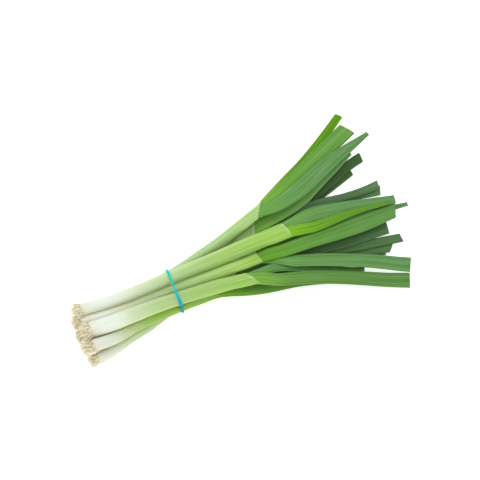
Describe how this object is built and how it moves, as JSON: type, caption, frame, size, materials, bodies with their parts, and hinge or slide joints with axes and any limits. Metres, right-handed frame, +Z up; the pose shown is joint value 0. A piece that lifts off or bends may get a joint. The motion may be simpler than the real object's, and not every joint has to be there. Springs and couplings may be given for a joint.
{
  "type": "spring onion bunch",
  "caption": "Bunch of spring onions lying flat, white root ends together and hollow green leaves fanned out, tied by a rubber band.",
  "frame": {"origin": "middle of the footprint, on the surface that the bunch lies on", "axes": "+X along the bunch from the root ends to the leaf tips, +Y to the side on which the longest fan of leaves spreads, +Z up"},
  "size_m": [0.3696, 0.2138, 0.0379],
  "materials": {
    "shank_skin": "waxy, white at the root and pale green above",
    "leaf_light": "smooth waxy leaf",
    "leaf_mid": "smooth waxy leaf",
    "leaf_blue": "leaf with a blue-grey waxy bloom",
    "leaf_dark": "smooth waxy leaf",
    "root_hair": "dry, matt",
    "rubber_band": "matt rubber"
  },
  "bodies": {
    "root": {"onion_1_shank": "shank_skin", "onion_1_leaf_1": "leaf_dark", "onion_1_leaf_2": "leaf_blue", "onion_2_shank": "shank_skin", "onion_2_leaf_1": "leaf_dark", "onion_2_leaf_2": "leaf_dark", "onion_3_shank": "shank_skin", "onion_3_leaf_1": "leaf_dark", "onion_3_leaf_2": "leaf_dark", "onion_3_leaf_3": "leaf_blue", "onion_3_leaf_4": "leaf_blue", "onion_3_leaf_5": "leaf_mid", "onion_4_shank": "shank_skin", "onion_4_leaf_1": "leaf_blue", "onion_4_leaf_2": "leaf_light", "onion_4_leaf_3": "leaf_light", "onion_4_leaf_4": "leaf_blue", "onion_5_shank": "shank_skin", "onion_5_leaf_1": "leaf_mid", "onion_6_shank": "shank_skin", "onion_6_leaf_1": "leaf_blue", "onion_7_shank": "shank_skin", "onion_8_shank": "shank_skin", "onion_8_leaf_1": "leaf_blue", "onion_6_leaf_2": "leaf_mid", "onion_6_leaf_3": "leaf_mid", "onion_8_leaf_2": "leaf_mid", "onion_7_leaf_1": "leaf_mid", "onion_7_leaf_2": "leaf_light", "onion_1_roots": "root_hair", "onion_2_roots": "root_hair", "onion_3_roots": "root_hair", "onion_4_roots": "root_hair", "onion_5_roots": "root_hair", "onion_6_roots": "root_hair", "onion_7_roots": "root_hair", "onion_8_roots": "root_hair", "rubber_band": "rubber_band"}
  },
  "joints": []
}
